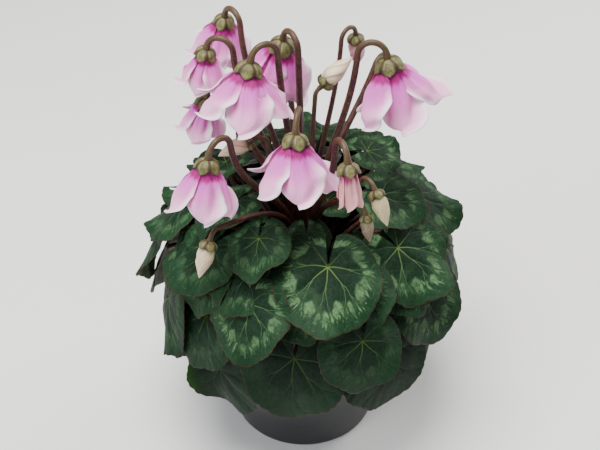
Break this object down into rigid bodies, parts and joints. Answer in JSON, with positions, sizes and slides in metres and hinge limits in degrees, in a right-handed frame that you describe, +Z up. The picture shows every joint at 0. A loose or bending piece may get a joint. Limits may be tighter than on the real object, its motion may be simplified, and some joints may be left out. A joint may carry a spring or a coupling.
{
  "type": "potted cyclamen",
  "caption": "Miniature cyclamen in a black nursery pot: a mound of marbled heart-shaped leaves under hanging, skirt-shaped pale pink flowers with dark throats.",
  "frame": {"origin": "centre of the pot's flat foot", "axes": "+Z up the plant; -Y towards the viewer of the picture"},
  "size_m": [0.1508, 0.1508, 0.2189],
  "materials": {
    "pot": "thin black moulded plastic, satin",
    "soil": "dark, crumbly peat mix, dull",
    "stalk": "red-brown fleshy stalks, olive-green calyxes",
    "leaf": "dark green with a broken silvery-green zone and pale veins, waxy",
    "bloom": "soft pale pink petals, magenta at the throat",
    "bud": "cream to pink furled petals, silky"
  },
  "bodies": {
    "root": {"pot": "pot", "soil": "soil", "tuber_and_stalks": "stalk", "leaf_01": "leaf", "leaf_02": "leaf", "leaf_03": "leaf", "leaf_04": "leaf", "leaf_05": "leaf", "leaf_06": "leaf", "leaf_07": "leaf", "leaf_08": "leaf", "leaf_09": "leaf", "leaf_10": "leaf", "leaf_11": "leaf", "leaf_12": "leaf", "leaf_13": "leaf", "leaf_14": "leaf", "leaf_15": "leaf", "leaf_16": "leaf", "leaf_17": "leaf", "leaf_18": "leaf", "leaf_19": "leaf", "leaf_20": "leaf", "leaf_21": "leaf", "leaf_22": "leaf", "leaf_23": "leaf", "leaf_24": "leaf", "leaf_25": "leaf", "leaf_26": "leaf", "leaf_27": "leaf", "leaf_28": "leaf", "leaf_29": "leaf", "leaf_30": "leaf", "leaf_31": "leaf", "leaf_32": "leaf", "leaf_33": "leaf", "leaf_34": "leaf", "leaf_35": "leaf", "leaf_36": "leaf", "leaf_37": "leaf", "leaf_38": "leaf", "leaf_39": "leaf", "leaf_40": "leaf", "bloom_01": "bloom", "bloom_02": "bloom", "bloom_03": "bloom", "bloom_04": "bloom", "bloom_05": "bloom", "bloom_06": "bloom", "bloom_07": "bloom", "bloom_08": "bloom", "bloom_09": "bloom", "bloom_10": "bloom", "bloom_11": "bloom", "bud_01": "bud", "bud_02": "bud", "bud_03": "bud", "bud_04": "bud", "bud_05": "bud", "bud_06": "bud"}
  },
  "joints": []
}
